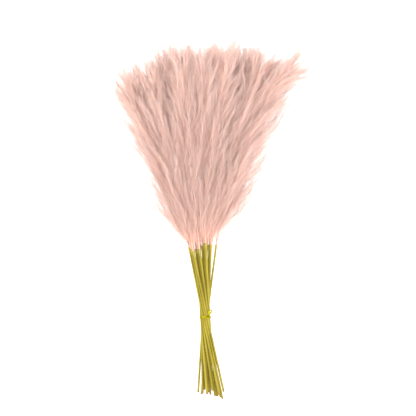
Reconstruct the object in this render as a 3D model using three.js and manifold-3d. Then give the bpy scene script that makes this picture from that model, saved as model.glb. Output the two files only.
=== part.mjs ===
// A bunch of pampas grass lying flat: feathery plumes on bare stems, held by one twist tie.
// Millimetres. +Y runs along the bunch towards the plume tips, +X is to its right, +Z is up.
// The bunch rests on Z = 0, on its lower plumes and on its lowest cut stem end.

import * as THREE from "three";
import Module from "manifold-3d";

const wasm = await Module();
wasm.setup();

// ---- Stems -------------------------------------------------------------------------------------

const STEM_DIAMETER = 2.45;
const STEM_GAP = 0.25; // free space between neighbouring stems where the tie gathers them
const SHEATH_DIAMETER = 3.2; // the swollen top of a stem, where its plume begins
const SHEATH_LENGTH = 9;
const BUTT_LENGTH = 97; // from the tie down to the cut ends
const FOOT_HEIGHT = 90; // from the tie up to where the plumes begin
const STEM_SIDES = 8;
const STEM_STEP = 32; // spacing of the cross sections along a bare stem

// The stems cross at the tie, so the bunch turns about its axis and opens out on both sides of it.
const TWIST = 0.0325; // sideways slope of a stem for each millimetre it stands above the axis
const TWIST_SKEW = 0.0025; // how much more the bunch opens above the tie than below it
const LIFT = 0.02; // upward slope of a stem for each millimetre it stands beside the axis
const STRAY = 0.006; // each stem's own slope away from its place in the fan
const LEAN = -0.058; // the axis leans to the left going up
const BOW = 0.019; // and is slightly bowed at the tie
const BEND_LENGTH = 20; // length over which the bow and the skew set in
const RISE = 0.08; // the axis rises from the cut ends to the thick plumes

// ---- Plumes ------------------------------------------------------------------------------------

const TIP_HEIGHT = 330; // from the tie up to the plume tips
const TIP_SPREAD = 100; // how far the outer tips stand out to each side of the tie
const LOWEST_TIP = 14; // height above the table of the tips in the lowest layer
const LAYER_HEIGHT = 12.5; // between one layer of tips and the next
const PLUME_RADIUS = 23; // of a plume that nothing presses, where it is widest
const SEAT_GAP = 0.3; // between a stem's top and the foot of its plume
const PLUME_GAP = 0.9; // between plumes that press against each other
const PLUME_STEP = 15; // spacing of the cross sections along a plume
const PLUME_SIDES = 10;
const FOOT_RADIUS = SHEATH_DIAMETER / 2;
const TIP_RADIUS = 2.2;
const TIP_LENGTH = 5; // the last cone of a plume
const FULLEST = 0.42; // where along its length a plume is widest, as a share
const OPENING_POWER = 2.4; // how quickly a plume opens from its foot
const CLOSING_POWER = 1.9; // and how blunt it is towards its tip
const LEAST_SECTION = 6; // shortest stretch between two cross sections
const CURL_POWER = 7; // how late a plume's curl sets in

// ---- Twist tie ---------------------------------------------------------------------------------

const TIE_WIDTH = 1.8;
const TIE_THICKNESS = 0.45;
const TIE_CLEARANCE = 0.3; // between the tie and the stems it holds
const TIE_CORNERS = 36;
const STRAND_RADIUS = 0.5;
const STRAND_SIDES = 6;
const STRAND_STEPS = 26;
const KNOT_AT = 0.12; // where round the waist the strands leave the band, as a share of a turn
const TWISTED_TURNS = 1.25;
const TWISTED_OFFSET = 0.42; // distance of each strand from the middle of the twisted pair

// ---- The plumes one by one ---------------------------------------------------------------------

// side, level: the stem's seat in the six-sided packing under the tie, in half steps to the right
// and in rows upwards. butt, foot: how much farther from the tie than the rest the stem is cut and
// the plume begins. across: how far its tip stands to the side, as a share of the spread. tip: how
// much farther up it reaches than the rest. layer: which layer its tip lies in. way, dip: sideways
// and upward slope at the tip. curl: extra sideways bend at the tip. full: its share of the plume
// radius.
function plume(side, level, butt, foot, across, tip, layer, way, dip, curl, full) {
  return {
    side,
    level,
    butt: BUTT_LENGTH + butt,
    foot: FOOT_HEIGHT + foot,
    tip: {
      x: TIP_SPREAD * across,
      reach: TIP_HEIGHT + tip,
      z: LOWEST_TIP + LAYER_HEIGHT * layer,
    },
    way,
    dip,
    curl,
    radius: PLUME_RADIUS * full,
  };
}

const PLUMES = [
  plume(-2, 2, 0, -1.5, -1.04, -28, 1, -0.4, -0.05, -4, 1.05),
  plume(-3, 1, -5, 0, -0.9, -26, 0.25, -0.36, -0.05, -3, 1.05),
  plume(0, 2, 5.9, -4, -0.72, -16, 2.1, -0.3, -0.05, 2, 1),
  plume(-4, 0, -0.4, 1, -0.62, -10, 0, -0.3, -0.05, 0, 0.95),
  plume(-1, 1, 2, -4, -0.5, 6, 1.3, -0.2, 0, -2, 0.95),
  plume(-2, 0, -2.2, 2, -0.36, -2, 0.1, -0.16, -0.03, 0, 0.9),
  plume(2, 2, -2.8, -6.5, -0.3, 4, 3, -0.12, -0.06, -2, 1),
  plume(1, 1, 2.8, -4, -0.14, -2, 2, -0.05, -0.02, 0, 0.9),
  plume(0, 0, 0.9, 0, -0.05, 0, 1.1, 0, 0, 0, 0.9),
  plume(3, 1, 4.7, -4.5, 0, 3, 3, 0.02, -0.06, 0, 1),
  plume(2, 0, -8.5, 3, 0.14, 5, 2, 0.05, -0.02, 0, 0.9),
  plume(-3, -1, -1, 2, 0.2, -6, 0, 0.1, -0.02, 0, 0.9),
  plume(4, 0, 3.4, 3.5, 0.27, 14, 3, 0.08, -0.06, -2, 1),
  plume(1, -1, -17.8, 1.5, 0.43, 3, 1.1, 0.14, 0, 2, 0.95),
  plume(-1, -1, -5.4, 1, 0.58, -3, 0, 0.22, -0.02, 1, 0.95),
  plume(3, -1, -16, 1, 0.74, 5, 2.2, 0.28, -0.05, 4, 1.05),
  plume(2, -2, 1, 1, 0.745, -10, 1.6, 0.15, -0.04, 52, 1.15),
  plume(-2, -2, -2, 2, 0.9, -16, 0, 0.12, -0.03, 0, 1.25),
];

// ---- Where the stems run -----------------------------------------------------------------------

const PITCH = STEM_DIAMETER + STEM_GAP;
const DOWN = new THREE.Vector2(0, -1);
const GOLDEN_ANGLE = Math.PI * (3 - Math.sqrt(5));

// Distance from the tie, bent smoothly so that it grows on both sides.
function bent(t) {
  return Math.hypot(t, BEND_LENGTH) - BEND_LENGTH;
}

// The stem's seat under the tie, seen along the bunch.
function seat(stem) {
  return {
    x: (stem.side * PITCH) / 2,
    z: (stem.level * PITCH * Math.sqrt(3)) / 2,
  };
}

// Which way a stem strays, seen along the bunch: every seat has another direction.
function strayOf(stem) {
  const angle = GOLDEN_ANGLE * (stem.side + 9 * stem.level);
  return { x: STRAY * Math.cos(angle), z: STRAY * Math.sin(angle) };
}

// A stem's place at distance t above the tie, from the bunch's axis at the tie.
function stemPlace(stem, t) {
  const { x, z } = seat(stem);
  const stray = strayOf(stem);
  const turn = TWIST * t + TWIST_SKEW * bent(t);
  const axis = LEAN * t + BOW * bent(t) + stray.x * t;
  return new THREE.Vector3(axis + x - turn * z, t, (RISE + stray.z) * t + z + LIFT * t * x);
}

// Sideways and upward slope of a path at distance t, over a short step.
function slopeOf(path, t) {
  const step = STEM_DIAMETER / 4;
  const ahead = path(t + step);
  const behind = path(t - step);
  const run = ahead.y - behind.y;
  return new THREE.Vector2((ahead.x - behind.x) / run, (ahead.z - behind.z) / run);
}

// The tie's height above the table: the lowest cut end then just touches it.
function tieHeight() {
  const heights = PLUMES.map((stem) => {
    const end = stemPlace(stem, -stem.butt);
    const slope = slopeOf((t) => stemPlace(stem, t), -stem.butt);
    const reach = slantedRadius(STEM_DIAMETER / 2, slope, DOWN);
    return reach - end.z;
  });
  return Math.max(...heights);
}

const TIE_HEIGHT = tieHeight();

function stemPath(stem) {
  return (t) => stemPlace(stem, t).setZ(stemPlace(stem, t).z + TIE_HEIGHT);
}

// ---- Where the plumes run ----------------------------------------------------------------------

// Cubic from a to b over length run, with slopes at both ends, at share u.
function hermite(a, b, slopeA, slopeB, run, u) {
  const u2 = u * u;
  const u3 = u2 * u;
  const ends = a * (2 * u3 - 3 * u2 + 1) + b * (3 * u2 - 2 * u3);
  const leads = slopeA * (u3 - 2 * u2 + u) + slopeB * (u3 - u2);
  return ends + leads * run;
}

// The middle of a stem and of the plume that goes on from it.
function plumePath(stem) {
  const below = stemPath(stem);
  const start = below(stem.foot);
  const lead = slopeOf(below, stem.foot);
  const run = stem.tip.reach - stem.foot;
  return (t) => {
    if (t <= stem.foot) {
      return below(t);
    }
    const u = (t - stem.foot) / run;
    const curl = stem.curl * u ** CURL_POWER;
    const x = hermite(start.x, stem.tip.x, lead.x, stem.way, run, u) + curl;
    const z = hermite(start.z, stem.tip.z, lead.y, stem.dip, run, u);
    return new THREE.Vector3(x, t, z);
  };
}

// ---- How thick they are ------------------------------------------------------------------------

function smooth(u) {
  const v = THREE.MathUtils.clamp(u, 0, 1);
  return v * v * (3 - 2 * v);
}

function stemRadius(stem, t) {
  const swelling = smooth((t - (stem.foot - SHEATH_LENGTH)) / SHEATH_LENGTH);
  return THREE.MathUtils.lerp(STEM_DIAMETER, SHEATH_DIAMETER, swelling) / 2;
}

// Free radius at distance t of a stem or of its plume, and 0 beyond the tip.
function freeRadius(stem, t) {
  if (t <= stem.foot) {
    return stemRadius(stem, t);
  }
  const u = (t - stem.foot) / (stem.tip.reach - stem.foot);
  if (u >= 1) {
    return 0;
  }
  const opening = 1 - (1 - Math.min(u / FULLEST, 1)) ** OPENING_POWER;
  const closing = Math.max((u - FULLEST) / (1 - FULLEST), 0) ** CLOSING_POWER;
  const end = THREE.MathUtils.lerp(FOOT_RADIUS, TIP_RADIUS, u);
  return end + (stem.radius - end) * opening * (1 - closing);
}

// A round rod that slants through a level cut shows an oval: its radius towards a direction.
function slantedRadius(radius, slope, direction) {
  const steepness = slope.length();
  if (steepness === 0) {
    return radius;
  }
  const along = direction.dot(slope) / steepness;
  const share = (along * steepness) ** 2 / (1 + steepness ** 2);
  return radius / Math.sqrt(1 - share);
}

// ---- Cross sections, all square to Y -----------------------------------------------------------

function directions(sides) {
  return Array.from({ length: sides }, (_, k) => {
    const angle = (2 * Math.PI * (k + 0.5)) / sides;
    return new THREE.Vector2(Math.cos(angle), Math.sin(angle));
  });
}

// What a stem or plume looks like in the cut at distance t.
function sectionOf(stem, t) {
  const path = plumePath(stem);
  const slope = slopeOf(path, t);
  const middle = path(t);
  const radius = freeRadius(stem, t);
  return {
    middle: new THREE.Vector2(middle.x, middle.z),
    towards: (direction) => slantedRadius(radius, slope, direction),
  };
}

// The lines that a plume's section stays behind in the cut at distance t: the table, and one line
// between it and each neighbour, nearer to the thinner of the two.
function limitsOf(stem, t) {
  const own = sectionOf(stem, t);
  const limits = [{ direction: DOWN, distance: own.middle.y }];
  for (const other of PLUMES) {
    const gone = t > other.tip.reach + PLUME_STEP;
    if (other === stem || gone) {
      continue;
    }
    const near = sectionOf(other, t);
    const apart = near.middle.clone().sub(own.middle);
    const direction = apart.clone().normalize();
    const mine = own.towards(direction);
    const theirs = near.towards(direction);
    const share = mine / (mine + theirs);
    limits.push({ direction, distance: apart.length() * share - PLUME_GAP / 2 });
  }
  return limits;
}

// One ring of points round a plume, at distance t, no farther out than its limits allow.
function plumeRing(stem, t) {
  const own = sectionOf(stem, t);
  const limits = limitsOf(stem, t);
  return directions(PLUME_SIDES).map((direction) => {
    const reaches = limits
      .map((limit) => limit.distance / direction.dot(limit.direction))
      .filter((reach) => reach > 0);
    const reach = Math.min(own.towards(direction), ...reaches);
    const point = own.middle.clone().addScaledVector(direction, reach);
    return new THREE.Vector3(point.x, t, point.y);
  });
}

function stemRing(stem, t) {
  const path = stemPath(stem);
  const middle = path(t);
  const slope = slopeOf(path, t);
  const radius = stemRadius(stem, t);
  return directions(STEM_SIDES).map((direction) => {
    const reach = slantedRadius(radius, slope, direction);
    return new THREE.Vector3(middle.x + direction.x * reach, t, middle.z + direction.y * reach);
  });
}

// ---- Solids ------------------------------------------------------------------------------------

// A closed skin over rings of equal count in order of Y, closed at each end to a point.
function loft(rings, first, last) {
  const sides = rings[0].length;
  const positions = [...rings.flat(), first, last].flatMap((p) => [p.x, p.y, p.z]);
  const start = rings.length * sides;
  const index = [];
  for (let k = 0; k < sides; k += 1) {
    const next = (k + 1) % sides;
    index.push(start, k, next);
    for (let s = 0; s + 1 < rings.length; s += 1) {
      const low = s * sides;
      const high = low + sides;
      index.push(low + k, high + k, low + next);
      index.push(low + next, high + k, high + next);
    }
    const top = start - sides;
    index.push(start + 1, top + next, top + k);
  }
  const geometry = new THREE.BufferGeometry();
  geometry.setAttribute("position", new THREE.Float32BufferAttribute(positions, 3));
  geometry.setIndex(index);
  return geometry;
}

// Distances from first to last, about a step apart.
function evenly(first, last, step) {
  const parts = Math.max(Math.round((last - first) / step), 1);
  return Array.from({ length: parts + 1 }, (_, k) => first + ((last - first) * k) / parts);
}

function stemGeometry(stem) {
  const path = stemPath(stem);
  const top = stem.foot - SEAT_GAP;
  const neck = top - SHEATH_LENGTH;
  const cuts = [...evenly(-stem.butt, neck, STEM_STEP), (neck + top) / 2, top];
  const rings = cuts.map((t) => stemRing(stem, t));
  return loft(rings, path(-stem.butt), path(top));
}

// The cuts at a plume's own ends, and between them the cuts that all plumes share.
function plumeCuts(stem) {
  const last = stem.tip.reach - TIP_LENGTH;
  const cuts = [stem.foot];
  const shared = Math.ceil((stem.foot + LEAST_SECTION) / PLUME_STEP) * PLUME_STEP;
  for (let t = shared; t <= last - LEAST_SECTION; t += PLUME_STEP) {
    cuts.push(t);
  }
  return [...cuts, last];
}

function plumeGeometry(stem) {
  const path = plumePath(stem);
  const rings = plumeCuts(stem).map((t) => plumeRing(stem, t));
  return loft(rings, path(stem.foot), path(stem.tip.reach));
}

// ---- Twist tie ---------------------------------------------------------------------------------

// The outline round all stems where they pass under the tie, kept off them by clear.
function waistOutline(clear) {
  const edges = [-TIE_WIDTH / 2, TIE_WIDTH / 2];
  const seats = PLUMES.flatMap((stem) => edges.map((t) => stemPath(stem)(t)));
  return directions(TIE_CORNERS).map((direction) => {
    const along = (p) => p.x * direction.x + p.z * direction.y;
    const outermost = seats.reduce((best, p) => (along(p) > along(best) ? p : best));
    const out = STEM_DIAMETER / 2 + clear;
    return new THREE.Vector2(outermost.x + direction.x * out, outermost.z + direction.y * out);
  });
}

function bandGeometry() {
  const outside = waistOutline(TIE_CLEARANCE + TIE_THICKNESS);
  const inside = waistOutline(TIE_CLEARANCE);
  const shape = new THREE.Shape(outside);
  shape.holes.push(new THREE.Path(inside));
  const band = new THREE.ExtrudeGeometry(shape, { depth: TIE_WIDTH, bevelEnabled: false });
  band.rotateX(Math.PI / 2);
  band.translate(0, TIE_WIDTH / 2, 0);
  return band;
}

// Where the band's two ends meet and leave it, on the upper right of the bunch.
function knot() {
  const outside = waistOutline(TIE_CLEARANCE + TIE_THICKNESS / 2);
  const point = outside[Math.round(TIE_CORNERS * KNOT_AT)];
  return new THREE.Vector3(point.x, 0, point.y);
}

// The free ends of the two strands after the twisted pair, from the knot.
const LOOP_END = [
  [1.5, 5.1, 3.3],
  [3.3, 6.3, 3.7],
  [3.8, 8.1, 4.1],
  [2.5, 9.5, 4.4],
  [-0.2, 10.2, 4.7],
];
const SHORT_END = [
  [0.7, 5.9, 3.6],
  [0.6, 7.7, 4.1],
  [1.7, 9.2, 4.4],
];
const TWISTED_END = new THREE.Vector3(0.9, 4.3, 2.7);

function strandGeometry(side, freeEnd) {
  const from = knot();
  const way = TWISTED_END.clone().normalize();
  const across = new THREE.Vector3(1, 0, 0).cross(way).normalize();
  const over = way.clone().cross(across);
  const twisted = evenly(0, 1, 1 / 10).map((u) => {
    const angle = 2 * Math.PI * TWISTED_TURNS * u + side * Math.PI;
    return from
      .clone()
      .addScaledVector(TWISTED_END, u)
      .addScaledVector(across, TWISTED_OFFSET * Math.cos(angle))
      .addScaledVector(over, TWISTED_OFFSET * Math.sin(angle));
  });
  const free = freeEnd.map(([x, y, z]) => from.clone().add(new THREE.Vector3(x, y, z)));
  const path = new THREE.CatmullRomCurve3([...twisted, ...free]);
  const rim = directions(STRAND_SIDES).map((d) => d.multiplyScalar(STRAND_RADIUS));
  return new THREE.ExtrudeGeometry(new THREE.Shape(rim), {
    extrudePath: path,
    steps: STRAND_STEPS,
    bevelEnabled: false,
  });
}

// Decimal places by which two corners of a mesh count as one.
const DECIMALS = 4;

function solidFrom(geometry) {
  const points = geometry.getAttribute("position");
  const merged = new Map();
  const vertices = [];
  const corner = (i) => {
    const p = [points.getX(i), points.getY(i), points.getZ(i)];
    const key = p.map((value) => value.toFixed(DECIMALS)).join();
    if (!merged.has(key)) {
      merged.set(key, merged.size);
      vertices.push(...p);
    }
    return merged.get(key);
  };
  const count = geometry.index ? geometry.index.count : points.count;
  const order = Array.from({ length: count }, (_, i) =>
    corner(geometry.index ? geometry.index.getX(i) : i),
  );
  const mesh = new wasm.Mesh({
    numProp: 3,
    vertProperties: new Float32Array(vertices),
    triVerts: new Uint32Array(order),
  });
  return new wasm.Manifold(mesh);
}

function geometryFrom(solid) {
  const mesh = solid.getMesh();
  const geometry = new THREE.BufferGeometry();
  geometry.setAttribute("position", new THREE.BufferAttribute(mesh.vertProperties, 3));
  geometry.setIndex(new THREE.BufferAttribute(mesh.triVerts, 1));
  return geometry;
}

function tieGeometry() {
  const solid = solidFrom(bandGeometry())
    .add(solidFrom(strandGeometry(0, LOOP_END)))
    .add(solidFrom(strandGeometry(1, SHORT_END)));
  return geometryFrom(solid);
}

// ---- Materials ---------------------------------------------------------------------------------

function stemMaterial() {
  return new THREE.MeshStandardMaterial({ color: 0xcdbe50, roughness: 0.6, metalness: 0 });
}

function plumeMaterial() {
  return new THREE.MeshStandardMaterial({ color: 0xeab9aa, roughness: 0.95, metalness: 0 });
}

function tieMaterial() {
  return new THREE.MeshStandardMaterial({ color: 0xd6c21e, roughness: 0.3, metalness: 0.85 });
}

// ---- The bunch ---------------------------------------------------------------------------------

function named(name, geometry, material) {
  const mesh = new THREE.Mesh(geometry, material);
  mesh.name = name;
  return mesh;
}

function numbered(word, index) {
  return `${word}_${String(index + 1).padStart(2, "0")}`;
}

// Sets the whole group centred on X and Y, on the table.
function centreOnTable(meshes) {
  const box = new THREE.Box3();
  meshes.forEach((mesh) => box.expandByObject(mesh));
  const middle = box.getCenter(new THREE.Vector3());
  meshes.forEach((mesh) => mesh.geometry.translate(-middle.x, -middle.y, -box.min.z));
}

function bunch() {
  const stems = PLUMES.map((stem, i) =>
    named(numbered("stem", i), stemGeometry(stem), stemMaterial()),
  );
  const plumes = PLUMES.map((stem, i) =>
    named(numbered("plume", i), plumeGeometry(stem), plumeMaterial()),
  );
  const meshes = [...stems, ...plumes, named("twist_tie", tieGeometry(), tieMaterial())];
  centreOnTable(meshes);
  const group = new THREE.Group();
  group.name = "pampas_grass_bunch";
  group.add(...meshes);
  return group;
}

export default bunch();
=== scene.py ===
"""A tied bunch of dried pampas grass, lying on a pale table.

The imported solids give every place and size. Each plume solid is dressed as a thin stalk that
carries sprays of fine hair, each bare stem as a round dry culm with a cut end, and the tie as a
crinkled foil ribbon whose ends are twisted together.
"""

import logging
import math
from dataclasses import dataclass, field
from enum import Enum
from typing import Sequence, Union

import bmesh
import bpy
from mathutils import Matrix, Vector


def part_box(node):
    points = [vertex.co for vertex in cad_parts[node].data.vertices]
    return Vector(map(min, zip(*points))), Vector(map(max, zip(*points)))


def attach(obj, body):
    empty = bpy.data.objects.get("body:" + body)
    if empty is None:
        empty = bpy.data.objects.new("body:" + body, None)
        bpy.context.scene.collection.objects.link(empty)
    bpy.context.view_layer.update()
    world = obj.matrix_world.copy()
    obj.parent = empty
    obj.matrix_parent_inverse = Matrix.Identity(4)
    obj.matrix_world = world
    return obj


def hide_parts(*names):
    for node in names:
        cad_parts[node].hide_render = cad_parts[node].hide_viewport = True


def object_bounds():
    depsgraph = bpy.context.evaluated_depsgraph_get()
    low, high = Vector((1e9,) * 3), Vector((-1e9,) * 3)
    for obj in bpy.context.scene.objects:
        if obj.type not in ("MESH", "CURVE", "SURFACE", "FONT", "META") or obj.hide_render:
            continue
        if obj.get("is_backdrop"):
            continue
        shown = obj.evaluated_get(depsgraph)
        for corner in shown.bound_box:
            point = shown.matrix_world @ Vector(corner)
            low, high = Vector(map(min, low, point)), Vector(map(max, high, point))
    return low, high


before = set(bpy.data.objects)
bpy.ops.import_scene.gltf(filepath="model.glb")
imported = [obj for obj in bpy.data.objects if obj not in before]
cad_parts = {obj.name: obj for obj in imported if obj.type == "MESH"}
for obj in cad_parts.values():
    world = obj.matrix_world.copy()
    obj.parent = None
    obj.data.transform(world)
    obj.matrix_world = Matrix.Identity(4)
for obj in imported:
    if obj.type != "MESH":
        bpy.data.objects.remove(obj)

log = logging.getLogger("pampas")

MM = 0.001
GOLDEN_ANGLE = math.pi * (3.0 - math.sqrt(5.0))
BODY = "root"
BAKE_MAP = "OFBake"
WHITE = (1.0, 1.0, 1.0, 1.0)
UP = (0.0, 0.0, 1.0)

Number = Union[int, float]
Socket = bpy.types.NodeSocket
Tree = bpy.types.NodeTree


class Slot(Enum):
    """The record's material slots."""

    STEM = "stem"
    PLUME = "plume"
    TIE = "tie"


class Draw(Enum):
    """What is drawn at random: a number that keeps each draw apart, the least and the most."""

    LEAVING = (1, 0.0, 1.0)
    SPRAY_LENGTH = (2, 0.55, 1.35)
    HAIR_LENGTH = (3, 0.7, 1.2)
    SHORTENING = (4, 0.0, 0.72)
    LAYER = (5, 0.02, 1.0)
    HAIR_ANGLE = (6, 0.4, 1.2)
    ROUND = (7, -0.4, 0.4)
    ABOUT = (8, 0.0, 6.28)
    PHASE = (9, 0.0, 6.28)
    WAVES = (10, 3.0, 6.0)
    GIRTH = (11, 0.7, 1.2)
    SAG = (12, 0.5, 1.5)
    RESTING = (13, 0.0, 0.002)
    SPRAY_TONE = (14, 0.08, 0.34)
    HAIR_TONE = (15, -0.08, 0.12)
    BEND = (16, -0.3, 0.5)
    STRAGGLING = (18, 0.0, 1.0)


# ---- Node helpers ------------------------------------------------------------------------------


class Value:
    """A socket that carries a number. Python's operators on it add Math nodes."""

    def __init__(self, bench: "Bench", socket: Socket) -> None:
        """Wraps one output socket of the bench's tree."""
        self.bench = bench
        self.socket = socket

    def math(self, operation: str, *others: "Operand", clamp: bool = False) -> "Value":
        """Adds a Math node with this value as its first operand.

        Args:
            operation: The Math node's operation.
            others: Its further operands.
            clamp: Whether the result is held between 0 and 1.

        Returns:
            The node's result.
        """
        inputs = dict(enumerate([self, *others]))
        settings = {"operation": operation, "use_clamp": clamp}
        return self.bench.value("ShaderNodeMath", settings, inputs)

    def __add__(self, other: "Operand") -> "Value":
        """Returns self + other."""
        return self.math("ADD", other)

    __radd__ = __add__

    def __sub__(self, other: "Operand") -> "Value":
        """Returns self - other."""
        return self.math("SUBTRACT", other)

    def __rsub__(self, other: Number) -> "Value":
        """Returns other - self."""
        return self.math("MULTIPLY_ADD", -1.0, other)

    def __mul__(self, other: "Operand") -> "Value":
        """Returns self * other."""
        return self.math("MULTIPLY", other)

    __rmul__ = __mul__

    def __truediv__(self, other: "Operand") -> "Value":
        """Returns self / other."""
        return self.math("DIVIDE", other)

    def __pow__(self, other: "Operand") -> "Value":
        """Returns self ** other."""
        return self.math("POWER", other)

    def least(self, other: "Operand") -> "Value":
        """Returns the smaller of two values."""
        return self.math("MINIMUM", other)

    def most(self, other: "Operand") -> "Value":
        """Returns the larger of two values."""
        return self.math("MAXIMUM", other)

    def whole(self) -> "Value":
        """Returns the whole number below."""
        return self.math("FLOOR")

    def clamped(self) -> "Value":
        """Returns the value held between 0 and 1."""
        return self.math("ADD", 0.0, clamp=True)

    def eased(self, low: Number, high: Number) -> "Value":
        """Returns 0 below low and 1 above high, with a smooth step between."""
        inputs = {"Value": self, "From Min": low, "From Max": high}
        settings = {"interpolation_type": "SMOOTHSTEP"}
        return self.bench.value("ShaderNodeMapRange", settings, inputs)


class Arrow:
    """A socket that carries a vector or a colour. Operators on it add Vector Math nodes."""

    def __init__(self, bench: "Bench", socket: Socket) -> None:
        """Wraps one output socket of the bench's tree."""
        self.bench = bench
        self.socket = socket

    def math(self, operation: str, *others: "Operand") -> "Arrow":
        """Adds a Vector Math node with this vector first and returns its vector."""
        inputs = dict(enumerate([self, *others]))
        return self.bench.arrow("ShaderNodeVectorMath", {"operation": operation}, inputs)

    def __add__(self, other: "Operand") -> "Arrow":
        """Returns self + other."""
        return self.math("ADD", other)

    def __sub__(self, other: "Operand") -> "Arrow":
        """Returns self - other."""
        return self.math("SUBTRACT", other)

    def __mul__(self, factor: "Operand") -> "Arrow":
        """Returns the vector scaled by a number."""
        inputs = {"Vector": self, "Scale": factor}
        return self.bench.arrow("ShaderNodeVectorMath", {"operation": "SCALE"}, inputs)

    def cross(self, other: "Arrow") -> "Arrow":
        """Returns the cross product."""
        return self.math("CROSS_PRODUCT", other)

    def parts(self) -> "tuple[Value, Value, Value]":
        """Returns the three components."""
        node = self.bench.node("ShaderNodeSeparateXYZ", {}, {"Vector": self})
        x, y, z = (Value(self.bench, socket) for socket in node.outputs)
        return x, y, z


Operand = Union[Value, Arrow, Number, Sequence[float], str, bool, bpy.types.Material, None]


class Bench:
    """Adds nodes to one tree."""

    def __init__(self, tree: Tree) -> None:
        """Works on an empty tree."""
        self.tree = tree

    def node(self, kind: str, settings: dict, inputs: dict) -> bpy.types.Node:
        """Adds one node.

        Args:
            kind: The node's type.
            settings: Its properties, set before its sockets.
            inputs: Values or links by socket name, identifier or number.

        Returns:
            The node.
        """
        node = self.tree.nodes.new(kind)
        for name, setting in settings.items():
            setattr(node, name, setting)
        for key, given in inputs.items():
            socket = self._socket(node, key)
            source = getattr(given, "socket", given)
            if isinstance(source, Socket):
                self.tree.links.new(source, socket)
            elif given is not None:
                socket.default_value = given
        return node

    def _socket(self, node: bpy.types.Node, key: Union[str, int]) -> Socket:
        """Finds an input.

        Args:
            node: The node that has it.
            key: Its number, or the name or identifier of an enabled one.

        Returns:
            The input.
        """
        if isinstance(key, int):
            return node.inputs[key]
        found = [s for s in node.inputs if key in (s.name, s.identifier) and s.enabled]
        return found[0]

    def _result(self, node: bpy.types.Node, output: Union[str, int]) -> Socket:
        """Finds an enabled output.

        Args:
            node: The node that has it.
            output: Its name, or its number among the enabled ones.

        Returns:
            The output.
        """
        shown = [s for s in node.outputs if s.enabled]
        if isinstance(output, int):
            return shown[output]
        return next(s for s in shown if s.name == output)

    def value(self, kind: str, settings: dict, inputs: dict, output: Union[str, int] = 0) -> Value:
        """Adds a node and returns one of its numbers."""
        return Value(self, self._result(self.node(kind, settings, inputs), output))

    def arrow(self, kind: str, settings: dict, inputs: dict, output: Union[str, int] = 0) -> Arrow:
        """Adds a node and returns one of its vectors or colours."""
        return Arrow(self, self._result(self.node(kind, settings, inputs), output))

    def combine(self, x: Operand, y: Operand, z: Operand) -> Arrow:
        """Returns a vector made of three numbers."""
        return self.arrow("ShaderNodeCombineXYZ", {}, {0: x, 1: y, 2: z})


class ShapeBench(Bench):
    """Adds nodes to a Geometry Nodes tree with named inputs."""

    KINDS = {
        float: "NodeSocketFloat",
        int: "NodeSocketInt",
        bpy.types.Material: "NodeSocketMaterial",
    }

    def __init__(self, name: str, sizes: dict) -> None:
        """Makes the tree.

        Args:
            name: The tree's name.
            sizes: Its named inputs with the values that they first hold.
        """
        super().__init__(bpy.data.node_groups.new(name, "GeometryNodeTree"))
        face = self.tree.interface
        face.new_socket("Geometry", in_out="INPUT", socket_type="NodeSocketGeometry")
        face.new_socket("Geometry", in_out="OUTPUT", socket_type="NodeSocketGeometry")
        for label, size in sizes.items():
            face.new_socket(label, in_out="INPUT", socket_type=self.KINDS[type(size)])
        self.entry = self.tree.nodes.new("NodeGroupInput")

    def shape(self, kind: str, settings: dict, inputs: dict) -> Socket:
        """Adds a node and returns its geometry."""
        return self._result(self.node(kind, settings, inputs), 0)

    def size(self, label: str) -> Value:
        """Returns a named input as a value."""
        return Value(self, self.entry.outputs[label])

    def stored(self, name: str, kind: str = "FLOAT") -> Value:
        """Returns a named attribute of the geometry."""
        return self.value("GeometryNodeInputNamedAttribute", {"data_type": kind}, {"Name": name})

    def keep(
        self, shape: Socket, name: str, what: Operand, kind: str = "FLOAT", domain: str = "POINT"
    ) -> Socket:
        """Stores a named attribute.

        Args:
            shape: The geometry that gets it.
            name: The attribute's name.
            what: What it holds.
            kind: Its data type.
            domain: What carries it.

        Returns:
            The geometry.
        """
        settings = {"data_type": kind, "domain": domain}
        inputs = {"Geometry": shape, "Name": name, "Value": what}
        return self.shape("GeometryNodeStoreNamedAttribute", settings, inputs)

    def tube(self, line: Socket, girth: str, sides: Operand) -> Socket:
        """Sweeps a ring along a curve.

        Args:
            line: The curve.
            girth: Its attribute that holds the radius.
            sides: The ring's number of corners.

        Returns:
            The closed skin.
        """
        corners = {"Resolution": sides, "Radius": 1.0}
        ring = self.shape("GeometryNodeCurvePrimitiveCircle", {"mode": "RADIUS"}, corners)
        swept = {"Curve": line, "Profile Curve": ring, "Scale": self.stored(girth)}
        return self.shape("GeometryNodeCurveToMesh", {}, {**swept, "Fill Caps": True})

    def chance(self, who: Value, draw: Draw) -> Value:
        """Returns a number drawn by who's number, alike in every run.

        Args:
            who: What draws, such as a spray's or a hair's number.
            draw: What is drawn.

        Returns:
            The drawn number.
        """
        salt, low, high = draw.value
        seed = self.size("Seed") + salt
        inputs = {"Min": low, "Max": high, "ID": who, "Seed": seed}
        return self.value("FunctionNodeRandomValue", {"data_type": "FLOAT"}, inputs)

    def finish(self, shape: Socket) -> Tree:
        """Realizes and dresses the shape and sends it out.

        Args:
            shape: The finished geometry.

        Returns:
            The tree.
        """
        real = self.shape("GeometryNodeRealizeInstances", {}, {"Geometry": shape})
        smooth = self.shape("GeometryNodeSetShadeSmooth", {}, {"Geometry": real})
        inputs = {"Geometry": smooth, "Material": self.size("Finish")}
        dressed = self.shape("GeometryNodeSetMaterial", {}, inputs)
        self.node("NodeGroupOutput", {}, {"Geometry": dressed})
        return self.tree


def placed(name: str, data: bpy.types.ID) -> bpy.types.Object:
    """Puts a new object in the scene.

    Args:
        name: The object's name.
        data: Its mesh, lamp or camera.

    Returns:
        The object.
    """
    thing = bpy.data.objects.new(name, data)
    bpy.context.scene.collection.objects.link(thing)
    return thing


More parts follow.
